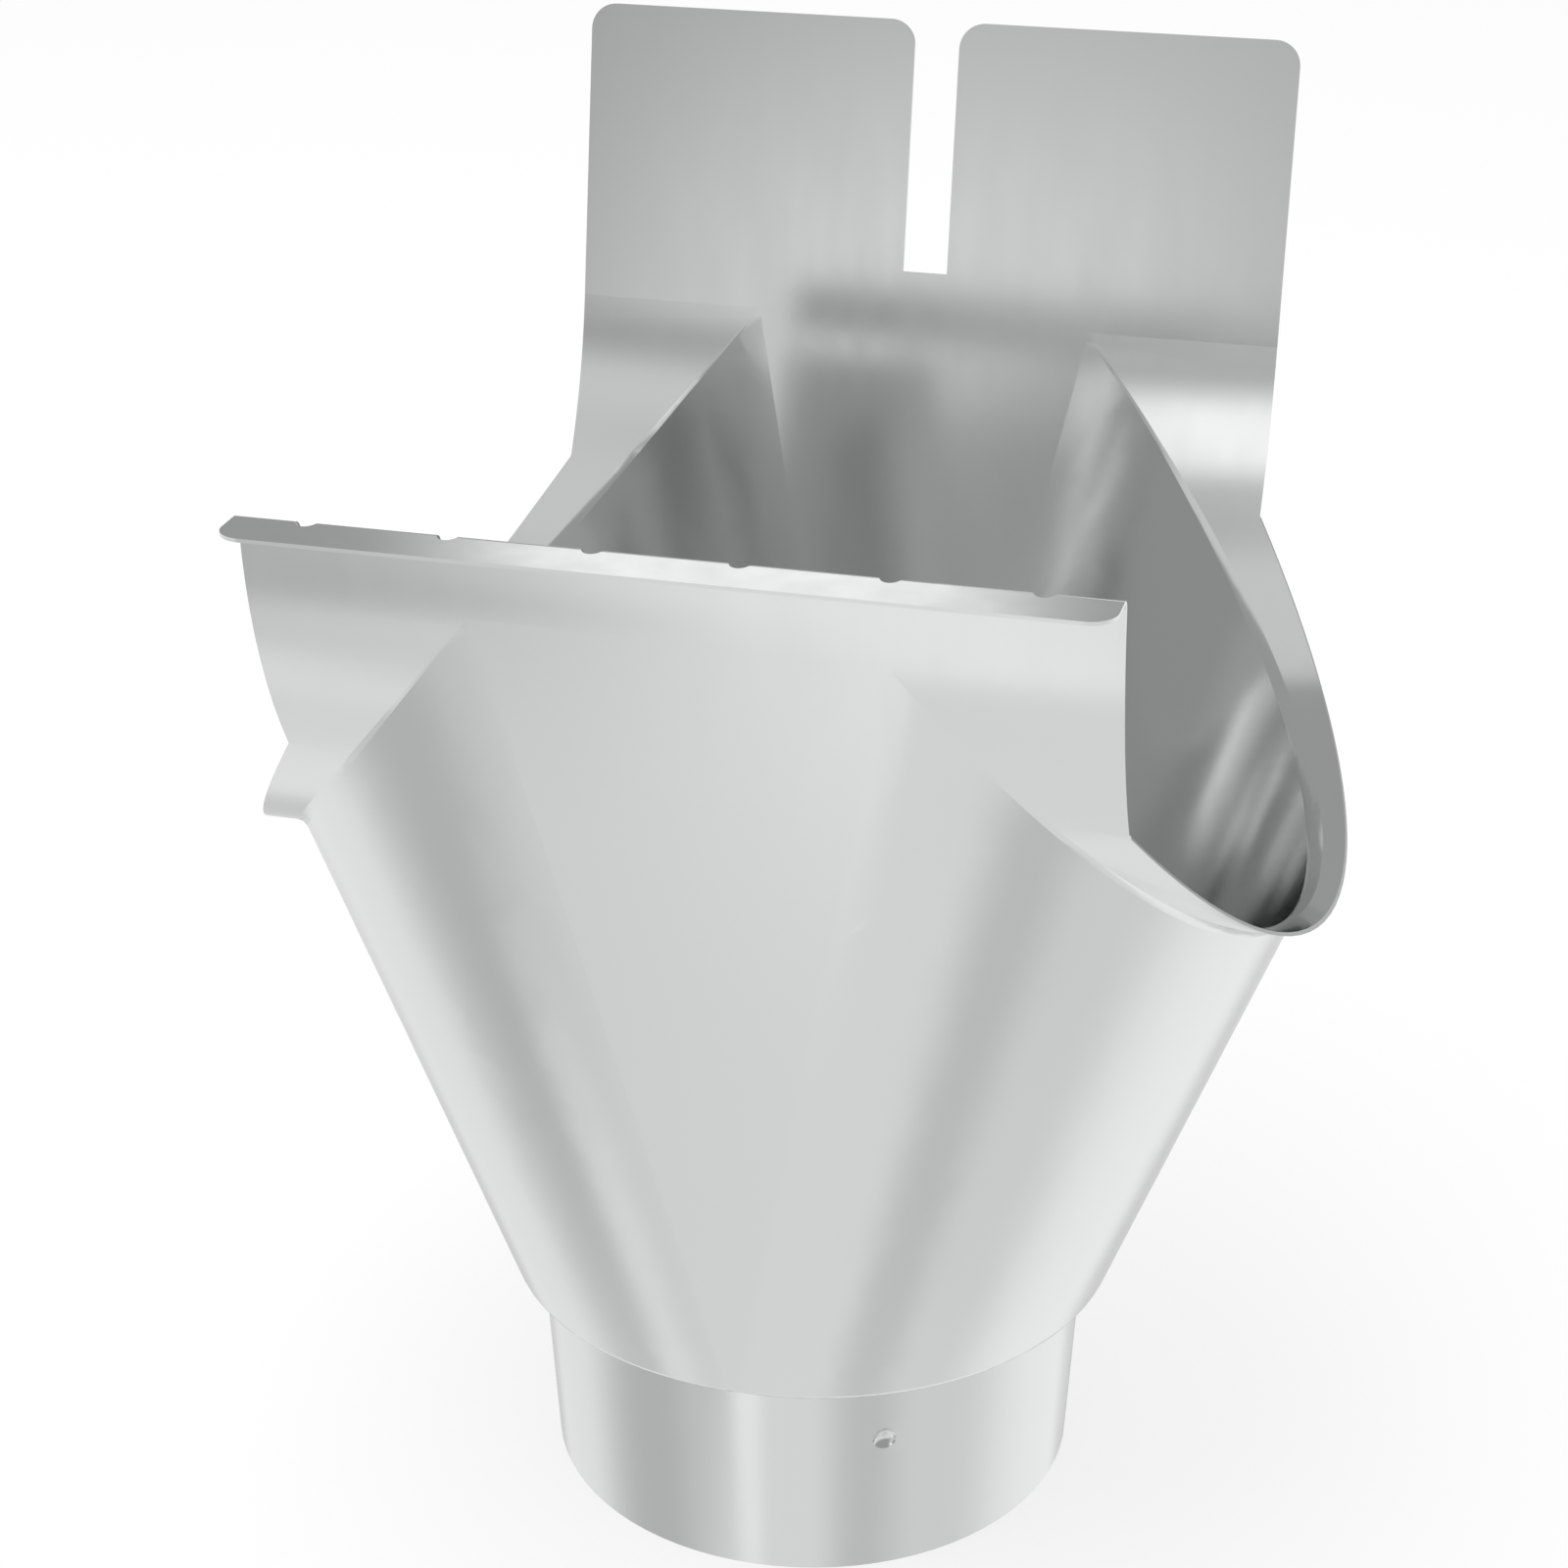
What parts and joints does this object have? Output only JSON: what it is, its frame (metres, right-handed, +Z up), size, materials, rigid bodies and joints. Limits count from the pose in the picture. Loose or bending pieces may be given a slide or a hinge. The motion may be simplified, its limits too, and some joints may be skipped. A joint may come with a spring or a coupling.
{
  "type": "gutter outlet",
  "caption": "Deep-drawn sheet metal outlet: a half-round saddle opens through a funnel into a round tapered spigot, with bend-over tabs behind and a hooked lip in front.",
  "frame": {"origin": "middle of the spigot's lower end", "axes": "+Z up along the spigot's axis towards the gutter; +X along the gutter; +Y towards the back, where the tabs stand; the lip is at -Y"},
  "size_m": [0.219, 0.217, 0.2908],
  "materials": {
    "sheet_metal": "satin rolled sheet, smooth from deep drawing"
  },
  "bodies": {
    "root": {"outlet_body": "sheet_metal"}
  },
  "joints": []
}
